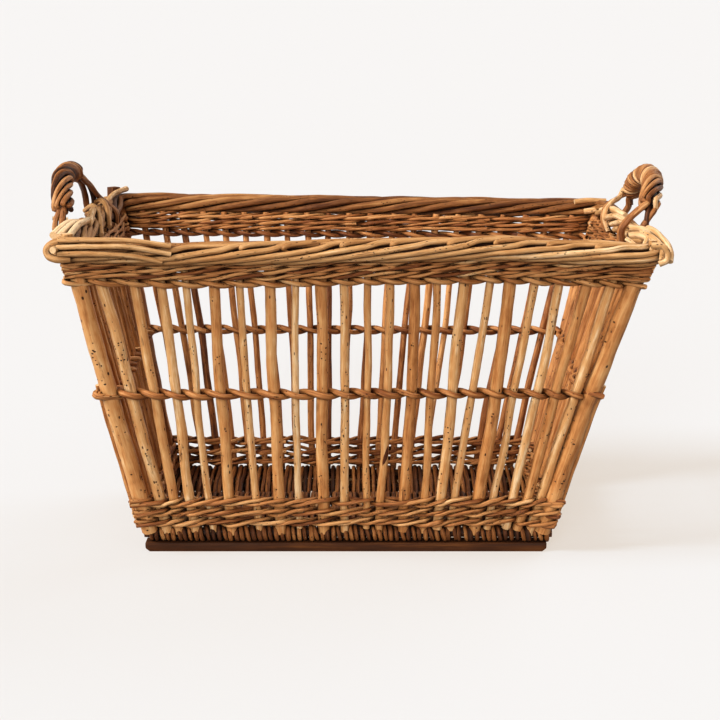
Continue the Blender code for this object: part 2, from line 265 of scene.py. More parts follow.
# %% Sawn wood
def sawn_wood(name):
    f = Finish(name)
    place = f.node("TexCoord", {}, output=3)

    def streaked(scales, detail, roughness=0.5):
        """Noise drawn out along the strip."""
        stretched = f.node("Mapping", {}, {"Vector": place, "Scale": scales})
        return f.noise(stretched, 1.0, detail, roughness)

    grain = streaked((9.0, 160.0, 160.0), 5.0, 0.65)
    lines = streaked((22.0, 520.0, 520.0), 3.0)
    stain = streaked((18.0, 40.0, 60.0), 3.0)
    shade = grain * 0.7 + lines * 0.45 + (stain - 0.5) * 0.5 - 0.08
    stops = [(0.15, screen(28, 12, 2)), (0.5, screen(68, 35, 9)), (0.85, screen(112, 68, 28))]
    colour = f.node("ValToRGB", {"stops": stops}, {0: shade})
    return f.finish(colour, grain * 0.25 + 0.65, grain * 0.6 + lines * 0.5, depth=0.0010)


runner_wood = sawn_wood("runner_wood")
print("finish of the runners:", runner_wood.name)

# %% [markdown]
# ## The line of the walls
# The CAD stands its stakes on a rectangle that widens with height. The same few values are
# named here, and the heights of the woven bands are read from the CAD's own boxes.

# %% Wall line
RIM_HEIGHT, RIM_LENGTH, RIM_DEPTH = 0.386, 0.639, 0.4075
FOOT_LENGTH, FOOT_DEPTH, FOOT_SHIFT = 0.4536, 0.255, -0.012
SIDES = {
    "front": Vector((0, -1, 0)), "right": Vector((1, 0, 0)),
    "rear": Vector((0, 1, 0)), "left": Vector((-1, 0, 0)),
}


def half_length(z):
    return (FOOT_LENGTH + (RIM_LENGTH - FOOT_LENGTH) * z / RIM_HEIGHT) / 2


def half_depth(z):
    return (FOOT_DEPTH + (RIM_DEPTH - FOOT_DEPTH) * z / RIM_HEIGHT) / 2


def middle(z):
    return FOOT_SHIFT * max(0.0, 1 - z / RIM_HEIGHT)


def wall_point(side, along, z):
    """Point on the stake line of a wall: along goes from -1 to 1 between its corners."""
    outward = SIDES[side]
    x = along * half_length(z) if outward.x == 0 else outward.x * half_length(z)
    y = along * half_depth(z) if outward.y == 0 else outward.y * half_depth(z)
    return Vector((x + middle(z), y, z))


def levels(node):
    """Lowest and highest z of a CAD node."""
    low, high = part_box(node)
    return low.z, high.z


base_high = levels("base_weave")[1]
upsett_low, upsett_high = levels("front_upsett_wale")
fitch_low, fitch_high = levels("front_mid_fitch")
upper_low, upper_high = levels("front_upper_fitch")
wale_low, wale_high = levels("front_top_wale")
border_low, border_high = levels("front_rim_border")
print("bands from", round(upsett_low, 4), "to", round(border_high, 4))

# %% [markdown]
# ## Posts
# Everything woven goes round the upright rods, so each upright is worked out first: where its
# middle is at any height, how thick it is, and which way is outwards. A real stake isn't quite
# straight, and a slow random bend that is the same for the stake and for its weave keeps both
# together. The uprights go round the basket in one loop, as the weaver does.

# %% Slow random sway
draw = random.Random(11)


class Bend:
    """A slow random sway, in metres, along a length."""

    def __init__(self, size, wavelength):
        self.waves = [
            (size * draw.uniform(0.3, 1.0) / (k + 1), wavelength / (k + 1),
             draw.uniform(0, 2 * math.pi))
            for k in range(3)]

    def at(self, s):
        """The sway at s metres along."""
        return sum(size * math.sin(2 * math.pi * s / length + phase)
                   for size, length, phase in self.waves)


# %% Upright rods
# How far in the right front corner stands, by height
RIGHT_PINCH = ((0.0, 0.0075), (0.10, 0.0085), (0.20, 0.0075), (0.30, 0.0030), (0.386, 0.0))
PINCH_REACH, PINCH_FADE = 0.025, 0.020
PINCH_FRONT, PINCH_DEPTH = 0.05, 0.15
CORNER_OUT = 0.0045


def unit(value):
    """The value, kept between 0 and 1."""
    return min(1.0, max(0.0, value))


def pinched(point, z):
    """The right front corner stands a little further in than the rectangle has it."""
    near_end = unit((point.x - middle(z) - half_length(z) + PINCH_REACH) / PINCH_FADE)
    near_front = unit((PINCH_FRONT - point.y) / PINCH_DEPTH)
    point.x -= near_end * near_front * float(np.interp(z, *zip(*RIGHT_PINCH)))
    return point


class Post:
    """One upright rod; other is the second side of a corner post."""

    def __init__(self, side, foot_along, top_along, radius, other=None):
        self.side, self.other, self.radius = side, other, radius
        self.foot_along, self.top_along = foot_along, top_along
        self.sway, self.lean = Bend(0.0013, 0.30), Bend(0.0007, 0.25)
        self.outward = SIDES[side] if other is None else (SIDES[side] + SIDES[other]).normalized()

    def at(self, z):
        """Middle of the rod at a height."""
        share = (z - base_high) / (border_low - base_high)
        along = self.foot_along + (self.top_along - self.foot_along) * share
        point = wall_point(self.side, along, z)
        if self.other:
            point += SIDES[self.other] * CORNER_OUT
        level = self.outward.cross(Vector((0, 0, 1)))
        return pinched(point + level * self.sway.at(z) + self.outward * self.lean.at(z), z)


# %% The loop of posts
# Widths of the front stakes from left to right, and how far each one's ends are from even spacing
FRONT_WIDTHS_MM = (
    14, 12, 12, 9, 13, 9, 13.5, 8.5, 14, 10.5, 8.5, 10, 13, 9.5, 12.5, 9.5, 15, 9.5, 11, 12, 12)
FOOT_SHIFTS_MM = (-4, -12, -15, -17, -17, -8, -5, -6, 1, 3, 6, 0, 6, 7, 3, -2, 7, 2, 6, 1, 4)
TOP_SHIFTS_MM = (-9, 0, 0, -3, 0, -3, 3, 2, 2, -1, -4, -4, -6, -10, -6, -3, -8, -6, -5, 1, 3)
REAR_COUNT, END_COUNT = 21, 13
REAR_THICK, REAR_THIN, END_THICK, END_THIN = 0.0094, 0.0084, 0.0112, 0.0080
REAR_DRIFT = -0.035
TOP_DRIFT, FOOT_DRIFT, FOOT_CROWDING = 0.045, 0.060, 0.050
CORNER_RADIUS = 0.0100


def front_posts():
    count = len(FRONT_WIDTHS_MM)
    for k, width in enumerate(FRONT_WIDTHS_MM):
        along = 2 * (k + 1) / (count + 1) - 1
        room = 1 - along ** 2
        foot = along + room * (FOOT_DRIFT + FOOT_CROWDING * along)
        foot += FOOT_SHIFTS_MM[k] / 1000 / half_length(base_high)
        top = along + room * TOP_DRIFT + TOP_SHIFTS_MM[k] / 1000 / half_length(border_low)
        yield Post("front", foot, top, width / 2000)


def side_posts(side, count, thick, thin, direction):
    for k in range(count):
        along = direction * (2 * (k + 1) / (count + 1) - 1)
        if side == "rear":
            along += (1 - along ** 2) * REAR_DRIFT
        width = thick if k % 2 == 0 else thin
        yield Post(side, along, along, width * draw.uniform(0.93, 1.07) / 2)


def corner_post(side, other, along):
    return Post(side, along, along, CORNER_RADIUS, other)


posts = [corner_post("front", "left", -1), *front_posts(), corner_post("front", "right", 1),
         *side_posts("right", END_COUNT, END_THICK, END_THIN, 1), corner_post("rear", "right", 1),
         *side_posts("rear", REAR_COUNT, REAR_THICK, REAR_THIN, -1),
         corner_post("rear", "left", -1),
         *side_posts("left", END_COUNT, END_THICK, END_THIN, -1)]
corners = [post for post in posts if post.other]
first_foot = tuple(round(c, 4) for c in posts[1].at(base_high))
print(len(posts), "posts; first front stake at its foot", first_foot)

# %% [markdown]
# ## One rod
# A rod is a line with a round section. By hand that is a curve with a bevel, turned into a mesh
# once its line is right, so the same is done here. The mesh then gets its tone, a map in
# metres, and pale ends.


# %% Selecting
def deselect():
    for item in bpy.context.selected_objects:
        item.select_set(False)


def select_only(*items):
    deselect()
    for item in items:
        item.select_set(True)
    bpy.context.view_layer.objects.active = items[0]


# %% Rod tool
# Painted shade: rods towards the rear are given a darker tone, as the rear wall lies in shade
REAR_SHADE = 0.19
SHADE_SPAN = 0.4


def rod(points, radii, tone, finish, sides=8, cut=True):
    """One rod along the points, as a mesh object; cut says that its ends are pale."""
    # Painted shade: a darker tone the further back the rod's middle lies
    tone -= REAR_SHADE * unit(points[len(points) // 2][1] / SHADE_SPAN + 0.5)
    curve = bpy.data.curves.new("rod", "CURVE")
    curve.dimensions = "3D"
    curve.bevel_depth, curve.bevel_resolution = 1.0, sides // 2 - 2
    curve.use_fill_caps = True
    line = curve.splines.new("POLY")
    line.points.add(len(points) - 1)
    line.points.foreach_set("co", [c for p in points for c in (*p, 1.0)])
    line.points.foreach_set("radius", radii)
    item = bpy.data.objects.new("rod", curve)
    scene.collection.objects.link(item)
    select_only(item)
    bpy.ops.object.convert(target="MESH")
    mesh = item.data
    length = sum((b - a).length for a, b in zip(points, points[1:]))
    uvs = np.zeros(len(mesh.loops) * 2, np.float32)
    layer = mesh.uv_layers[0]
    layer.name = "UVMap"
    layer.data.foreach_get("uv", uvs)
    uvs[0::2] *= length
    layer.data.foreach_set("uv", uvs)
    tones = mesh.attributes.new("tone", "FLOAT", "POINT")
    tones.data.foreach_set("value", [tone] * len(mesh.vertices))
    mesh.materials.append(finish)
    mesh.materials.append(cut_end)
    corners_of = np.zeros(len(mesh.polygons), np.int32)
    mesh.polygons.foreach_get("loop_total", corners_of)
    mesh.polygons.foreach_set("material_index", (cut & (corners_of == 3)).astype(np.int32))
    return item


def smooth_line(marks, steps=7):
    """A line through marks, rounded at each of them."""
    marks = [marks[0] * 2 - marks[1], *marks, marks[-1] * 2 - marks[-2]]
    line = []
    for a, b, c, d in zip(marks, marks[1:], marks[2:], marks[3:]):
        for k in range(steps):
            t = k / steps
            square = (a * 2 - b * 5 + c * 4 - d) * t ** 2
            cube = (b * 3 - a - c * 3 + d) * t ** 3
            line.append((b * 2 + (c - a) * t + square + cube) / 2)
    return line + [marks[-2]]


# %% Sag of the rim
# How far the rim is raised or lowered, by place along the basket
FRONT_SAG = (
    (-0.40, 0), (-0.30, -0.001), (-0.20, -0.005), (-0.07, -0.003), (0.0, -0.0005), (0.09, 0.001),
    (0.15, 0.0025), (0.20, 0), (0.26, -0.003), (0.31, -0.0065), (0.40, -0.0065))
REAR_SAG = ((-0.40, 0), (-0.32, 0), (0.32, -0.008), (0.40, -0.008))
SAG_SPAN = 0.4


def settle(piece):
    """Lets the rim sag as the real one does: most at the top, nothing at the foot."""
    mesh = piece.data
    places = np.zeros(len(mesh.vertices) * 3, np.float32)
    mesh.vertices.foreach_get("co", places)
    x, y, z = places[0::3], places[1::3], places[2::3]
    share = np.clip((y + SAG_SPAN / 2) / SAG_SPAN, 0, 1)
    front, rear = (np.interp(x, *zip(*table)) for table in (FRONT_SAG, REAR_SAG))
    places[2::3] = z + (front + (rear - front) * share) * np.clip(z / RIM_HEIGHT, 0, 1) ** 2
    mesh.vertices.foreach_set("co", places)
    mesh.update()


# %% Pieces out of rods
MERGE_WITHIN = 1e-6


def bundle(rods, name, slot, *nodes, settled=True):
    """Joins rods into one piece that stands for CAD nodes."""
    select_only(*rods)
    if len(rods) > 1:
        bpy.ops.object.join()
    piece = bpy.context.view_layer.objects.active
    piece.name = piece.data.name = name
    bpy.ops.object.mode_set(mode="EDIT")
    bpy.ops.mesh.select_all(action="SELECT")
    bpy.ops.mesh.remove_doubles(threshold=MERGE_WITHIN)
    bpy.ops.object.mode_set(mode="OBJECT")
    if settled:
        settle(piece)
    bpy.ops.object.shade_smooth_by_angle(angle=math.radians(50))
    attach(piece, "root")
    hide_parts(*nodes)
    triangles = sum(len(face.vertices) - 2 for face in piece.data.polygons)
    print(f"{name}: {len(rods)} rods, {triangles} triangles")


def on_all_sides(band):
    """The four CAD nodes of a band."""
    return [f"{side}_{band}" for side in SIDES]


# %% Uneven rods
def swelling(count, radius, taper=0.0, unevenness=0.05, spacing=0.004):
    """Radii along a rod: a slow taper and small swellings."""
    bend = Bend(unevenness, 0.07)
    last = max(1, count - 1)
    return [radius * (1 - taper * k / last + bend.at(k * spacing)) for k in range(count)]


def toned(centre, spread=0.13):
    """A random tone near a centre."""
    return min(0.97, max(0.03, draw.gauss(centre, spread)))


# %% [markdown]
# ## Stakes
# The stakes are stout peeled sticks, nearly straight, round, and thick and thin in turn along
# the front. They start in the base, where some of their pointed feet show, and go up into the
# border.

# %% Stakes
STAKE_STEP = 0.008
# The stake with a long dark scar, and the scar's line: height, and how far to the side
SCARRED = 12
SCAR_MARKS = ((0.137, 0.0032), (0.122, 0.0012), (0.104, -0.0022))
SCAR_SUNK, SCAR_TONE = 0.0020, -1.0


def stake(post, foot, top, tone):
    count = int((top - foot) / STAKE_STEP)
    points = [post.at(foot + (top - foot) * k / count) for k in range(count + 1)]
    radii = swelling(len(points), post.radius, 0.06, 0.045, STAKE_STEP)
    return rod(points, radii, tone, stake_willow, 12)


stake_top = border_low + 0.004
front_stakes = posts[1:len(FRONT_WIDTHS_MM) + 1]
for number, post in enumerate(front_stakes, start=1):
    foot = base_high - draw.uniform(0.002, 0.010)
    name = f"front_stake_{number:02d}"
    rods = [stake(post, foot, stake_top, toned(0.71, 0.09))]
    if number == SCARRED:
        marks = [post.at(z) + Vector((aside, SCAR_SUNK - post.radius, 0))
                 for z, aside in SCAR_MARKS]
        radii = [0.0006 + 0.0021 * math.sin(math.pi * k / 12) for k in range(13)]
        rods.append(rod(smooth_line(marks, 6), radii, SCAR_TONE, stake_willow, cut=False))
    bundle(rods, name.replace("stake", "stake_rod"), "stake", name)

for side in ("rear", "left", "right"):
    rods = [stake(post, base_high - 0.004, stake_top, toned(0.52, 0.11))
            for post in posts if post.side == side and not post.other]
    bundle(rods, side + "_stake_rods", "stake", side + "_stakes")

# %% [markdown]
# The corner posts are the thickest sticks. A thin rod stands beside each one on its outer side.

# %% Corner posts
SLIM_ROD, SLIM_STEPS = 0.0072, 36
SLIM_TOP = 0.21

for post in corners:
    rods = [stake(post, base_high - 0.006, stake_top + 0.004, toned(0.62, 0.06))]
    aside = SIDES[post.other] * (post.radius + 0.0016)
    back = SIDES[post.side] * 0.004
    top = SLIM_TOP if post.side == "front" else border_low
    heights = np.linspace(base_high, top, SLIM_STEPS)
    points = [post.at(z) + aside - back for z in heights]
    radii = swelling(SLIM_STEPS, SLIM_ROD / 2, 0.1, 0.05, 0.009)
    rods.append(rod(points, radii, toned(0.5), stake_willow))
    name = f"corner_post_{post.side}_{post.other}"
    bundle(rods, f"{post.side}_{post.other}_post_rods", "stake", name)

# %% [markdown]
# ## Wales and fitches
# A wale is woven with several rods at once, here four. Each goes in front of two stakes and
# behind the next two, a stake behind the rod before it, so the outside shows short strokes that
# climb to the right. A fitch is a pair of rods that twist half a turn between one stake and the
# next. Both are worked out the same way: at each step along the loop of posts, how far out the
# rod is and how high, and the rod's line goes smoothly between.

# %% Paths round the posts
STEPS = 7
CORNER_REACH = 0.30
SHAKE_WAVE = 0.16


def between(first, second, share):
    return first + (second - first) * share


def ease(share):
    """Slow at both ends."""
    share = unit(share)
    return share * share * (3 - 2 * share)


def round_posts(start, length, height, radius, offset, lift, wrap=0.0):
    """Line round the posts, from post number start for a length in posts.

    offset(u) is -1 inside to 1 outside, lift(u) is metres, and wrap 1 keeps it outside the corners.
    """
    points = []
    for step in range(int(length * STEPS) + 1):
        u = start + step / STEPS
        first, second = posts[int(u) % len(posts)], posts[(int(u) + 1) % len(posts)]
        share = u - int(u)
        z = height(u) + lift(u)
        smooth = ease(share)
        centre = between(first.at(z), second.at(z), share)
        outward = between(first.outward, second.outward, smooth).normalized()
        reach = between(first.radius, second.radius, smooth) + radius
        cornered = between(bool(first.other), bool(second.other), smooth)
        away = between(offset(u), 1.0, cornered * wrap)
        if away > 0:
            reach *= 1 + CORNER_REACH * cornered
        points.append(centre + outward * reach * away)
    return points


def shaky(points, size):
    """Small unevenness that no hand weaving is without."""
    bends = [Bend(size, SHAKE_WAVE) for axis in range(3)]
    travelled, result = 0.0, []
    for k, point in enumerate(points):
        if k:
            travelled += (point - points[k - 1]).length
        result.append(point + Vector([bend.at(travelled) for bend in bends]))
    return result


def piecewise(value, knots):
    """Straight lines between knots of (place, height)."""
    for (a, low), (b, high) in zip(knots, knots[1:]):
        if value <= b:
            return between(low, high, (value - a) / (b - a))
    return knots[-1][1]


# %% Wale
def wale(level, over, under, diameter, pitch, centre_tone, shake):
    """One round of wale: each rod is in front of `over` posts and behind `under`.

    Its strokes stand `pitch` apart on the outside.
    """
    count = over + under
    radius, top = diameter / 2, (over - 1) / 2 * pitch

    def offset(phase):
        phase %= count
        if phase < 1:
            return -math.cos(math.pi * phase)
        if phase < over:
            return 1.0 + 0.16 * (phase - 1) * (over - phase)
        if phase < over + 1:
            return math.cos(math.pi * (phase - over))
        return -1.0

    knots = [(over + 0.5 - count, top), (0.5, -top), (1.0, -top),
             (over, top), (over + 0.5, top), (count + 0.5, -top)]

    def lift(phase):
        phase %= count
        return sum(piecewise(phase + step, knots) for step in (-0.2, 0.0, 0.2)) / 3

    rods = []
    for strand in range(count):
        u = strand - count
        while u < len(posts):
            length = count * draw.randint(3, max(4, 24 // count)) + draw.choice((0.3, 0.3, 0.8))
            first, last = max(u - 0.35, 0.0), min(u + length, len(posts) + 0.4)
            if last - first > 1.5:
                points = round_posts(
                    first, last - first, lambda u: level, radius,
                    lambda u: offset(u - strand), lambda u: lift(u - strand), wrap=1.0)
                size = diameter * draw.uniform(0.84, 1.08) / 2
                line = shaky(points, shake)
                radii = swelling(len(line), size, 0.15)
                rods.append(rod(line, radii, toned(centre_tone, 0.15), weave_willow))
            spare = length % count
            u += math.ceil(length / count) * count if spare > 0.5 else length - spare
    return rods


# %% Upsett and top wale
# Diameter, height of a stroke, tone and unevenness
UPSETT = (0.0052, 0.0060, 0.57, 0.0014)
TOP = (0.0048, 0.0050, 0.62, 0.0012)
TOP_RAISE, TOP_PITCH = 0.0015, 0.0070
upsett_pitch = (upsett_high - upsett_low - 0.001) / 3

rods = []
for row in range(3):
    rods += wale(upsett_low + upsett_pitch * (row + 0.5), 2, 2, *UPSETT)
bundle(rods, "upsett_weave", "weave", *on_all_sides("upsett_wale"))
rods = []
for row in (-1, 0, 1):
    rods += wale((wale_low + wale_high) / 2 + TOP_RAISE + row * TOP_PITCH, 2, 2, *TOP)
bundle(rods, "top_wale_weave", "weave", *on_all_sides("top_wale"))

# %% Fitches
FITCH_RISE = 0.72
FITCH_CLIMB = 0.009
MID_ROD, UPPER_ROD = 0.0076, 0.0064


def fitch(height, diameter, centre_tone):
    """A pair of rods twisted round the posts."""
    rods = []
    radius = diameter / 2
    for strand in range(2):

        def offset(u):
            return math.cos(math.pi * (u - strand))

        def lift(u):
            return -FITCH_RISE * radius * math.sin(math.pi * (u - strand))

        u = -1.0
        while u < len(posts) - 1:
            length = min(draw.randint(9, 15) + 0.55, len(posts) - u)
            start = u + 1 - 0.45
            points = round_posts(start, length + 0.35, height, radius * 0.95, offset, lift)
            size = diameter * draw.uniform(0.88, 1.05) / 2
            line = shaky(points, 0.0004)
            radii = swelling(len(line), size, 0.10)
            rods.append(rod(line, radii, toned(centre_tone), weave_willow))
            u += length
    return rods


def mid_height(u):
    """The mid fitch climbs a little from the front wall to the rear wall."""
    y = posts[int(u) % len(posts)].at(fitch_low).y
    y_next = posts[(int(u) + 1) % len(posts)].at(fitch_low).y
    y = between(y, y_next, u - int(u))
    half = half_depth(fitch_low)
    return (fitch_low + fitch_high) / 2 + FITCH_CLIMB * (y + half) / (2 * half)


bundle(fitch(mid_height, MID_ROD, 0.58), "mid_fitch_weave", "weave", "front_mid_fitch")
rods = fitch(lambda u: (upper_low + upper_high) / 2, UPPER_ROD, 0.54)
bundle(rods, "upper_fitch_weave", "weave", *on_all_sides("upper_fitch"))

# %% [markdown]
# ## Border
# The border is the thick rope round the rim. Each stake end is laid down along it: it climbs
# the outer face slowly, turns up sharply on to the ridge where the one before it gives way,
# lies along the ridge, and goes down the inner face and under. Every rod goes once round the
# rope, and the next starts a short way on.

# %% Rope round the rim
ROPE_RODS = 40
ROPE_TURN = 8
ROPE_ROD = 0.0068
CORNER_BEND = 0.022
BORDER_INNER, BORDER_OUTER = 0.009, 0.024
rope_level = (border_low + border_high) / 2
rope_out = (BORDER_OUTER - BORDER_INNER) / 2
rope_wide = (BORDER_OUTER + BORDER_INNER - ROPE_ROD) / 2
rope_tall = (border_high - border_low - ROPE_ROD) / 2


def rim_place(s):
    """Point, outward direction and length of the loop, s metres round the border's middle line."""
    a, b = half_length(RIM_HEIGHT) + rope_out, half_depth(RIM_HEIGHT) + rope_out
    r = CORNER_BEND
    straight = (2 * (a - r), 2 * (b - r))
    quarter = math.pi * r / 2
    total = 2 * sum(straight) + 4 * quarter
    s %= total
    heading = 0
    corner_centres = ((-a + r, -b + r), (a - r, -b + r), (a - r, b - r), (-a + r, b - r))
    for k in range(4):
        run = straight[k % 2]
        forward = Vector((math.cos(heading), math.sin(heading), 0))
        outward = Vector((forward.y, -forward.x, 0))
        start = Vector((*corner_centres[k], 0)) + outward * r
        if s < run:
            return start + forward * s, outward, total
        s -= run
        if s < quarter:
            turned = heading + s / r
            outward = Vector((math.sin(turned), -math.cos(turned), 0))
            return Vector((*corner_centres[(k + 1) % 4], 0)) + outward * r, outward, total
        s -= quarter
        heading += math.pi / 2
    return rim_place(0.0)


rope_length = rim_place(0.0)[2]
rope_period = rope_length / ROPE_RODS
print("border:", round(rope_length, 3), "m round, a rod every", round(rope_period, 4), "m")

# %% Lay of a border rod
# Angle round the rope, in degrees from its outer side, by periods since the rod began
LAY = (
    (-0.5, -125), (0.0, -100), (0.6, -62), (3.0, 34), (3.22, 66), (3.6, 80), (4.6, 98),
    (5.7, 122), (6.1, 140), (7.6, 226), (8.0, 256), (8.4, 275))


def lay_angle(t):
    for (t0, a0), (t1, a1) in zip(LAY, LAY[1:]):
        if t <= t1:
            return math.radians(between(a0, a1, (t - t0) / (t1 - t0)))
    return math.radians(LAY[-1][1])


def rope_at(s, angle, reach):
    """Point s metres round the rim, at an angle round the rope from its outer side."""
    point, outward, _ = rim_place(s)
    z = rope_level + rope_tall * math.sin(angle) * reach
    return Vector((point.x, point.y, z)) + outward * rope_wide * math.cos(angle) * reach


def rope_point(s, t, swell):
    """Point on the rope's lay at s metres round and t periods into a rod's turn."""
    smooth = sum(lay_angle(t + step) for step in (-0.12, -0.06, 0.0, 0.06, 0.12)) / 5
    return rope_at(s, smooth, 1 + swell)


# %% Rods of the border
# How much darker the rear border rods are painted as shade, and the palest tone of a border rod
REAR_BORDER_SHADE, PALEST = 0.14, 0.84
REAR_LINE = 0.15
ROPE_STEPS = 150
LAY_START, LAY_SPARE = -0.4, 0.7


def periods(step):
    """Periods into a rod's turn at a step along it."""
    return LAY_START + (ROPE_TURN + LAY_SPARE) * step / ROPE_STEPS


rods = []
for k in range(ROPE_RODS):
    first = (k + draw.uniform(-0.07, 0.07)) * rope_period
    sunk = (0.02, -0.10)[k % 2] + draw.uniform(-0.04, 0.04)
    points = []
    for step in range(ROPE_STEPS + 1):
        t = periods(step)
        curl = -0.12 * max(0.0, 1 - abs(t - 3.9) / 0.9)
        dip = 0.35 * max(0.0, -t) + 0.35 * max(0.0, t - ROPE_TURN)
        swell = curl - dip + sunk * ease((t - 3.4) / 1.2)
        points.append(rope_point(first + t * rope_period, t, swell))
    size = ROPE_ROD * draw.uniform(0.92, 1.08) / 2
    radii = swelling(len(points), size, 0.05, 0.05, 0.003)
    for step in range(ROPE_STEPS + 1):
        t = periods(step)
        radii[step] *= 1 + 0.24 * ease((t - 3.6) / 1.2) * ease((7.9 - t) / 0.8)
    tone = min(PALEST, toned(0.62, 0.12))
    # Painted shade: rods lying along the rear get a darker tone still
    if rim_place(first + 5 * rope_period)[0].y > REAR_LINE:
        tone -= REAR_BORDER_SHADE
    rods.append(rod(shaky(points, 0.0005), radii, tone, border_willow))

# %% Curls on the ridge
CURL_COUNT = 37
# Millimetres along, degrees round the rope, and share of the rope's own reach
CURL = (
    (5, 20, 0.66), (0, 40, 0.88), (2, 54, 1.01), (10, 66, 1.07),
    (25, 77, 1.10), (43, 90, 1.08), (62, 106, 1.00), (76, 124, 0.80))
CURL_START, CURL_FRONT = -0.13, -0.2

for k in range(CURL_COUNT):
    first = rope_length * (k + draw.uniform(-0.10, 0.10)) / CURL_COUNT
    spot = rim_place(first)[0]
    if spot.y > CURL_FRONT or spot.x < CURL_START:
        continue
    long = draw.uniform(0.90, 1.15)
    points = smooth_line([
        rope_at(first + along / 1000 * long, math.radians(angle), reach)
        for along, angle, reach in CURL])
    size = ROPE_ROD * draw.uniform(1.10, 1.24) / 2
    radii = swelling(len(points), size, 0.20, 0.05, 0.002)
    for step in range(len(points)):
        radii[step] *= 0.35 + 0.65 * ease(step / 12)
    rods.append(rod(shaky(points, 0.0003), radii, toned(0.60, 0.09), border_willow))

# %% Dark core of the border
CORE_RODS, CORE_STEPS = 3, 240
CORE_RADIUS, CORE_TONE = 0.0042, 0.12
CORE_WIDE, CORE_TALL = 0.006, 0.003

for lane in range(CORE_RODS):
    turn = 2 * math.pi * lane / CORE_RODS
    rise = Vector((0, 0, CORE_TALL * math.sin(turn)))
    points = []
    for step in range(CORE_STEPS + 1):
        point, outward, _ = rim_place(rope_length * step / CORE_STEPS)
        middle_line = Vector((point.x, point.y, rope_level))
        points.append(middle_line + outward * CORE_WIDE * math.cos(turn) + rise)
    rods.append(rod(points, [CORE_RADIUS] * len(points), CORE_TONE, border_willow))

# %% [markdown]
# The lay is broken at the corners and at the legs of the handles. Short thick ends are tucked in
# there, loops go round the corners, and one square stump stands up at the rear left.

# %% Loose ends of the border
# Tone, diameter and marks (X, Y, Z) in millimetres, each read one by one
LOOSE_ENDS = (
    (0.72, 6.0, ((-329, -226, 386), (-290, -229, 388), (-250, -229, 389), (-205, -226, 384))),
    (0.82, 6.0, ((-330, -230, 379), (-290, -232, 381), (-250, -231, 382), (-205, -227, 375))),
    (0.66, 6.6, ((-329, -230, 372), (-290, -232, 373), (-250, -230, 372), (-215, -225, 366))),
    (0.60, 8.0, ((-332, -215, 383), (-300, -218, 385), (-255, -217, 382))),
    (0.58, 8.0, ((-332, -216, 371), (-300, -219, 372), (-255, -217, 370))),
    (0.66, 9.0, (
        (-306, -214, 384), (-322, -222, 385), (-334, -226, 383), (-341, -226, 376),
        (-339, -227, 369), (-330, -229, 366), (-316, -226, 366))),
    (0.88, 8.2, ((-326, -214, 378), (-333, -236, 377))),
    (0.60, 14.0, ((-322, -205, 370), (-322, -205, 391))),
    (1.12, 9.0, ((-345, -160, 382), (-336, -122, 390), (-329, -84, 387))),
    (1.10, 8.0, ((-338, -170, 382), (-328, -128, 391), (-321, -90, 387))),
    (1.02, 8.0, ((-322, -192, 386), (-321, -122, 390), (-317, -47, 386))),
    (0.86, 9.0, ((-316, -78, 386), (-321, -22, 391), (-326, 40, 386))),
    (0.80, 6.6, ((-308, -42, 366), (-314, -14, 386), (-326, 18, 393), (-341, 50, 383))),
    (0.74, 6.6, ((-308, 28, 366), (-314, 54, 386), (-326, 84, 392), (-341, 112, 382))),
    (0.92, 5.5, ((-346, -50, 385), (-364, -52, 387))),
    (0.95, 7.0, ((-309, 204, 392), (-320, 166, 390), (-326, 126, 383))),
    (0.84, 8.4, (
        (329, -146, 394), (334, -163, 393), (338, -180, 389),
        (342, -203, 383), (343, -218, 376), (341, -226, 368))),
    (0.80, 8.4, (
        (320, -160, 391), (327, -178, 389), (333, -200, 384), (335, -215, 377),
        (333, -227, 369))),
    (0.93, 6.8, ((308, -148, 395), (320, -152, 395), (333, -160, 391))),
    (0.90, 7.0, ((303, -175, 390), (315, -177, 391), (327, -184, 386), (334, -196, 380))),
    (0.86, 5.2, ((321, -193, 390), (318, -198, 385), (315, -203, 377))),
    (0.86, 5.2, ((298, -190, 388), (305, -196, 384), (312, -202, 377))),
    (0.80, 7.2, (
        (320, -228, 387), (332, -230, 386), (338, -230, 379), (337, -230, 370),
        (329, -230, 366))),
    (0.62, 10.0, ((325, -209, 370), (325, -209, 390))),
    (0.84, 7.5, ((286, 196, 383), (305, 198, 385), (328, 198, 384))),
    (0.92, 8.0, ((300, 196, 370), (318, 186, 374), (326, 176, 378))),
    (0.97, 9.0, ((309, 96, 384), (317, 56, 391), (327, 12, 388))),
    (0.95, 8.0, ((307, 40, 382), (314, 6, 389), (324, -30, 387))),
    (0.93, 7.0, ((306, -20, 382), (313, -52, 389), (322, -84, 387))),
)
STUMP = (Vector((-0.326, 0.205, 0.366)), Vector((-0.326, 0.205, 0.394)))
STUMP_RADII, STUMP_TONE = [0.0090, 0.0086], 0.22

for tone, diameter, marks in LOOSE_ENDS:
    line = smooth_line([Vector(mark) / 1000 for mark in marks])
    rods.append(rod(line, swelling(len(line), diameter / 2000, 0.05), tone, border_willow, 10))
rods.append(rod(STUMP, STUMP_RADII, STUMP_TONE, border_willow, 4, cut=False))
bundle(rods, "border_rope", "border", *on_all_sides("rim_border"))

# %% [markdown]
# ## Base
# Five sticks run the length of the base. Weavers cross them, over one and under the next, and
# turn round the outermost stick at the front and the rear, where the turns show as a row of
# upright wraps.

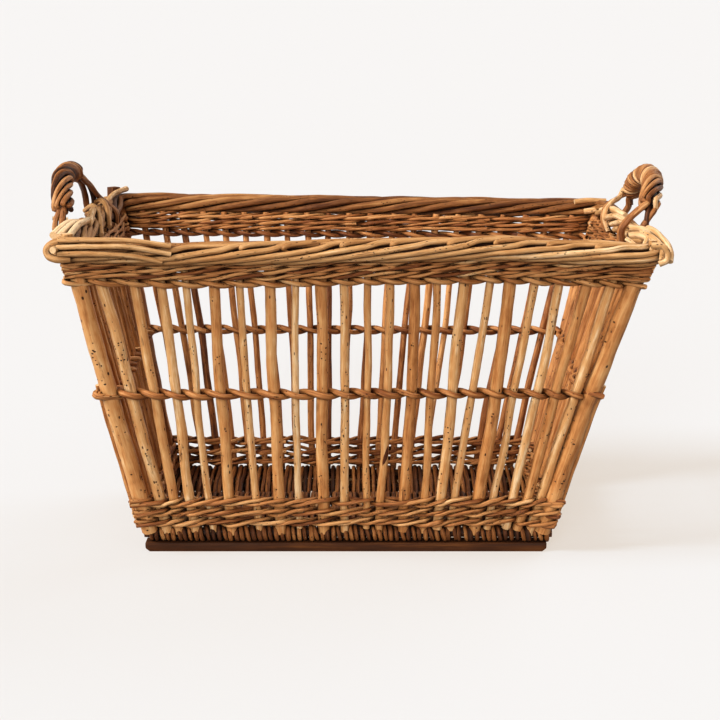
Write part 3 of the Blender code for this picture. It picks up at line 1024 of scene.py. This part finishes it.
# %% Base sticks and weavers
STICKS = ("base_stick_front", "base_stick_1", "base_stick_2", "base_stick_3", "base_stick_rear")
STICK_STEPS = 60
rods, stick_lines = [], []
for name in STICKS:
    low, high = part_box(name)
    y, z, radius = (low.y + high.y) / 2, (low.z + high.z) / 2, (high.z - low.z) / 2
    stick_lines.append((y, z, radius))
    length = high.x - low.x
    points = [Vector((low.x + length * k / STICK_STEPS, y, z)) for k in range(STICK_STEPS + 1)]
    line = shaky(points, 0.0004)
    radii = swelling(len(line), radius, 0.05, 0.03, 0.008)
    rods.append(rod(line, radii, toned(0.40), base_willow, 10))
bundle(rods, "base_stick_rods", "base_stick", *STICKS)

# %% Base weavers
weave_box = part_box("base_weave")
BASE_ROD = 0.0062
WRAP_PITCH = 0.0068
# How far a weaver is pressed into the stick it turns round
BITE = 0.0006


def base_weaver(x, front_wrap, slant):
    """One weaver across the base; it turns round the outer stick at the front, or at the rear."""
    r = BASE_ROD / 2
    sticks = stick_lines if front_wrap else stick_lines[::-1]
    way = 1 if front_wrap else -1
    y0, z0, r0 = sticks[0]
    line = [(y0 + way * (0.026 - 0.006 * k), z0 - r0 * (0.45 + 0.16 * k), slant) for k in range(4)]
    for k in range(11):
        turn = math.pi * k / 10
        y = y0 - way * (r0 + r) * math.sin(turn)
        line.append((y, z0 - (r0 + r - BITE) * math.cos(turn), slant * (1 - k / 5)))
    marks = [(y0, z0 + r0 + r - BITE)]
    for n, (y, z, radius) in enumerate(sticks[1:-1]):
        below = (n % 2 == 0) == front_wrap
        marks.append((y, z + (radius + r) * (-1 if below else 1)))
    y4, z4, r4 = sticks[-1]
    marks.append((y4 - way * (r4 + r), z4 - r4 * 0.6))
    for (ya, za), (yb, zb) in zip(marks, marks[1:]):
        for k in range(1, 13):
            line.append((between(ya, yb, k / 12), between(za, zb, ease(k / 12)), -slant))
    return [Vector((x + dx, y, z)) for y, z, dx in line]


rods = []
count = int((weave_box[1].x - weave_box[0].x - BASE_ROD) / WRAP_PITCH)
for k in range(2 * count + 1):
    x = weave_box[0].x + BASE_ROD / 2 + WRAP_PITCH * (k / 2 + draw.uniform(-0.10, 0.10))
    points = base_weaver(x, k % 2 == 0, draw.uniform(0.0008, 0.0034))
    size = BASE_ROD * draw.uniform(0.80, 1.08) / 2
    line = shaky(points, 0.0006)
    rods.append(rod(line, swelling(len(line), size, 0.05), toned(0.50), base_willow))
bundle(rods, "base_weavers", "weave", "base_weave")

# %% [markdown]
# ## Runners
# Two sawn strips under the long edges lift the basket off the floor. A box with its ends taken
# off, its edges softened and its faces divided, so that they can be a little uneven, is enough.

# %% Runners
RUNNER_CHAMFER, RUNNER_SHIFT = 0.005, -0.003
RUNNER_EDGE = 0.0012
# Below this height the last few millimetres of each end rise by this share
TOE_HEIGHT, TOE_RISE = 0.006, 0.8

for word in ("front", "rear"):
    low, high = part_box(word + "_runner")
    size, centre = high - low, (high + low) / 2 + Vector((RUNNER_SHIFT, 0, 0))
    chamfer_at = size.x / 2 - RUNNER_CHAMFER
    deselect()
    bpy.ops.mesh.primitive_cube_add(size=1, location=centre)
    strip = bpy.context.object
    strip.scale = size
    bpy.ops.object.transform_apply(location=True, rotation=True, scale=True)
    bpy.ops.object.mode_set(mode="EDIT")
    for end in (-1, 1):
        bpy.ops.mesh.select_all(action="SELECT")
        bpy.ops.mesh.bisect(plane_co=(centre.x + end * chamfer_at, 0, 0), plane_no=(1, 0, 0))
    bpy.ops.mesh.select_all(action="SELECT")
    bpy.ops.mesh.bevel(offset=RUNNER_EDGE, segments=2, affect="EDGES")
    bpy.ops.object.mode_set(mode="OBJECT")
    for vertex in strip.data.vertices:
        end = abs(vertex.co.x - centre.x) - chamfer_at
        if end > 0 and vertex.co.z < TOE_HEIGHT:
            vertex.co.z += end * TOE_RISE
    strip.name = strip.data.name = word + "_runner_strip"
    strip.data.materials.append(runner_wood)
    bpy.ops.object.shade_smooth_by_angle(angle=math.radians(40))
    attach(strip, "root")
    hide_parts(word + "_runner")
    print(f"{strip.name}: {len(strip.data.polygons)} faces, {size.x:.3f} m long")

# %% [markdown]
# ## Handles
# Each handle is a bow of willow with rods wound round it like a rope. The bow stands on the
# end border, leans outwards, and its rods pass down both faces of the border at its legs.

# %% Sizes of the bows
BOW_LEAN = 0.013
LEG_ALONG = 0.5
BOW_CORE, LEG_CORE, BOW_TONE = 0.0070, 0.0034, 0.15
STRAND, STRANDS = 0.0064, 7
WIND_PITCH, WIND_RADIUS = 0.056, 0.0100
LOOSE_PART, LOOSENING = 0.34, 0.55
ARCH_STEPS, BOW_STEPS, WIND_STEPS = 40, 44, 70
BOW_START, BOW_SPAN = -0.02, 1.04
# Marks of a strand's tail in millimetres: out from the stake line, away from the middle, and up
FRONT_OUTER = ((28, 97, 404), (32, 104, 390), (31, 107, 376), (20, 109, 358))
FRONT_NEAR = ((23, 95, 406), (25, 102, 392), (25, 106, 378), (16, 109, 360))
FRONT_INNER = ((17, 93, 410), (6, 97, 402), (-5, 99, 392), (-13, 99, 380), (-13, 99, 364))
FRONT_MIDDLE = ((25, 95, 402), (18, 98, 393), (12, 100, 384), (8, 102, 370))
LEFT_REAR_OUTER = ((29, 66, 417), (28, 96, 396), (27, 104, 378), (15, 108, 356))
LEFT_REAR_INNER = (
    (25, 46, 426), (19, 76, 411), (12, 98, 395), (3, 104, 385), (-9, 104, 373), (-10, 104, 356))
RIGHT_REAR_OUTER = ((25, 100, 392), (25, 103, 380), (14, 104, 362))
RIGHT_REAR_INNER = ((9, 84, 395), (-2, 70, 391), (-11, 59, 384), (-14, 52, 373), (-10, 48, 358))
# Name, end, how far out and up the bow goes and how much further out its rear leg is, the part
# that is wound, tone, tails at the front leg, tails at the rear leg
HANDLES = (
    ("left", -1, (0.0235, 0.0495, -0.006), (0.12, 0.60), 0.42,
     (FRONT_OUTER, FRONT_NEAR), (LEFT_REAR_OUTER, LEFT_REAR_INNER)),
    ("right", 1, (0.0145, 0.0455, 0.012), (0.17, 0.88), 0.66,
     (FRONT_MIDDLE, FRONT_INNER), (RIGHT_REAR_OUTER, RIGHT_REAR_INNER)),
)
print("handles:", [row[0] for row in HANDLES])


# %% Arch of a bow
def bow_point(end, shape, share):
    """Point on the arch: share goes from 0 at the front leg to 1 at the rear leg."""
    out, rise, skew = shape
    turn = math.pi * share
    y = -LEG_ALONG * half_depth(RIM_HEIGHT) * math.cos(turn)
    x = half_length(RIM_HEIGHT) + out + skew * share + BOW_LEAN * math.sin(turn) ** 2
    return Vector((end * x, y, RIM_HEIGHT + rise * math.sin(turn)))


def bow_frame(end, shape, share):
    """Point on the arch and two directions across it."""
    ahead = bow_point(end, shape, share + 0.01) - bow_point(end, shape, share - 0.01)
    ahead.normalize()
    across = Vector((1, 0, 0))
    across = (across - ahead * across.dot(ahead)).normalized()
    return bow_point(end, shape, share), across, ahead.cross(across)


def tail(end, leg, marks):
    """Marks of a strand's tail, which fans out from a leg down one face of the border."""
    aside, outwards = draw.uniform(-7, 7), draw.uniform(-2.5, 2.5)
    line = []
    for k, (out, away, z) in enumerate(marks, start=1):
        share = k / len(marks)
        x = end * (half_length(RIM_HEIGHT) + (out + outwards * share) / 1000)
        line.append(Vector((x, leg * (away + aside * share) / 1000, z / 1000)))
    return line


def core_share(k):
    """Share of the arch at a step of its core, which goes a little past both legs."""
    return BOW_START + BOW_SPAN * k / BOW_STEPS


# %% Bows and their winding
for word, end, shape, (start, stop), tone, front_marks, rear_marks in HANDLES:
    arch = [bow_point(end, shape, k / ARCH_STEPS) for k in range(ARCH_STEPS + 1)]
    arch_length = sum((b - a).length for a, b in zip(arch, arch[1:]))
    shares = [core_share(k) for k in range(BOW_STEPS + 1)]
    core = [bow_point(end, shape, share) for share in shares]
    core_radii = [BOW_CORE if start < share < stop else LEG_CORE for share in shares]
    core_rod = rod(core, core_radii, BOW_TONE, handle_willow)
    bundle([core_rod], word + "_bow_core", "handle", word + "_handle_bow", settled=False)
    rods = []
    for strand in range(STRANDS):
        wound, away = [], []
        for step in range(WIND_STEPS + 1):
            share = between(start, stop, step / WIND_STEPS)
            point, across, other = bow_frame(end, shape, share)
            wound_share = share + LOOSENING * max(0.0, LOOSE_PART - share)
            turn = 2 * math.pi * (wound_share * arch_length / WIND_PITCH + strand / STRANDS)
            away.append(end * math.cos(turn))
            aside = across * math.cos(turn) + other * math.sin(turn)
            wound.append(point + aside * WIND_RADIUS)
        head_marks = tail(end, -1, front_marks[away[0] < 0])[::-1] + [wound[0], wound[4]]
        foot_marks = [wound[-5], wound[-1]] + tail(end, 1, rear_marks[away[-1] < 0])
        # The winding takes over where the lines of the tails reach it
        head, foot = smooth_line(head_marks)[:-7], smooth_line(foot_marks)[8:]
        points = head + wound[1:] + foot
        size = STRAND * draw.uniform(0.88, 1.08) / 2
        radii = swelling(len(points), size, 0, 0.06, 0.003)
        for k in range(len(points)):
            radii[k] *= 1.06 - 0.06 * ease(k / len(head)) * ease((len(points) - k) / len(foot))
        rods.append(rod(shaky(points, 0.0006), radii, toned(tone, 0.19), handle_willow))
    bundle(rods, word + "_bow_wrap", "handle", word + "_handle_wrap", settled=False)

# %% [markdown]
# ## Floor, light and camera
# A pale floor, an even sky for the soft light of a studio, and three broad suns: one from the
# left that lights the inner face of the right end, one from the front, and a weak one from
# behind, so that the rear wall isn't left in the dark.

# %% Floor
FLOOR_SIZE = 240
FLOOR_LOOK = {
    "Base Color": screen(116, 134, 152), "Roughness": 0.9, "Specular IOR Level": 0.0,
    "Emission Color": screen(255, 237, 217), "Emission Strength": 0.560,
}

deselect()
bpy.ops.mesh.primitive_plane_add(size=FLOOR_SIZE)
floor = bpy.context.object
floor.name = "studio_floor"
pale = Finish("pale_floor")
for socket, value in FLOOR_LOOK.items():
    pale.feed(pale.shader.inputs[socket], value)
floor.data.materials.append(pale.material)
floor.visible_diffuse = False
print("floor:", floor.name, "with", pale.material.name)

# %% Sky
SKY_STRENGTH = 0.38
SKY_LOW, SKY_HIGH = (0.10, 0.07, 0.045, 1), (1.0, 0.93, 0.85, 1)
SKY_FULL = 0.55

world = bpy.data.worlds.new("studio")
world.use_nodes = True
tree = world.node_tree
background = tree.nodes["Background"]
background.inputs[1].default_value = SKY_STRENGTH
direction = tree.nodes.new("ShaderNodeTexCoord")
split = tree.nodes.new("ShaderNodeSeparateXYZ")
ramp = tree.nodes.new("ShaderNodeValToRGB")
low_end, high_end = ramp.color_ramp.elements
low_end.position, low_end.color = 0.0, SKY_LOW
high_end.position, high_end.color = SKY_FULL, SKY_HIGH
tree.links.new(direction.outputs["Generated"], split.inputs[0])
tree.links.new(split.outputs[2], ramp.inputs[0])
tree.links.new(ramp.outputs[0], background.inputs[0])
scene.world = world
print("sky:", world.name)


# %% Suns
def sun(name, towards, colour, strength, softness):
    """A sun that shines in a direction; softness is its width in degrees."""
    bpy.ops.object.light_add(type="SUN")
    light = bpy.context.object
    light.name = name
    light.rotation_euler = Vector(towards).to_track_quat("-Z", "Y").to_euler()
    light.data.color = colour
    light.data.energy = strength
    light.data.angle = math.radians(softness)
    print(f"{name}: strength {strength}, {softness} degrees wide")


sun("window_sun", (0.78, 0.20, -0.58), (1.0, 0.98, 0.95), 3.1, 20)
sun("front_sun", (0.16, 0.93, -0.28), (1.0, 0.96, 0.92), 2.2, 30)
sun("rear_sun", (-0.60, -0.62, -0.46), (1.0, 0.96, 0.92), 1.2, 50)

# %% Camera
CAMERA_PLACE = (0.0027, -2.1514, 0.668)
CAMERA_TILT, CAMERA_TURN = 0.2128, 0.0005
LENS_MM, SENSOR_MM = 88.8, 36.0
SIGHT = 400

rotation = (math.pi / 2 - CAMERA_TILT, 0.0, CAMERA_TURN)
bpy.ops.object.camera_add(location=CAMERA_PLACE, rotation=rotation)
camera = bpy.context.object
camera.data.lens, camera.data.sensor_width = LENS_MM, SENSOR_MM
camera.data.clip_end = SIGHT
scene.camera = camera
scene.view_settings.view_transform = "Standard"
scene.view_settings.look = "Medium High Contrast"
print("camera at", CAMERA_PLACE, "with a lens of", LENS_MM, "mm")
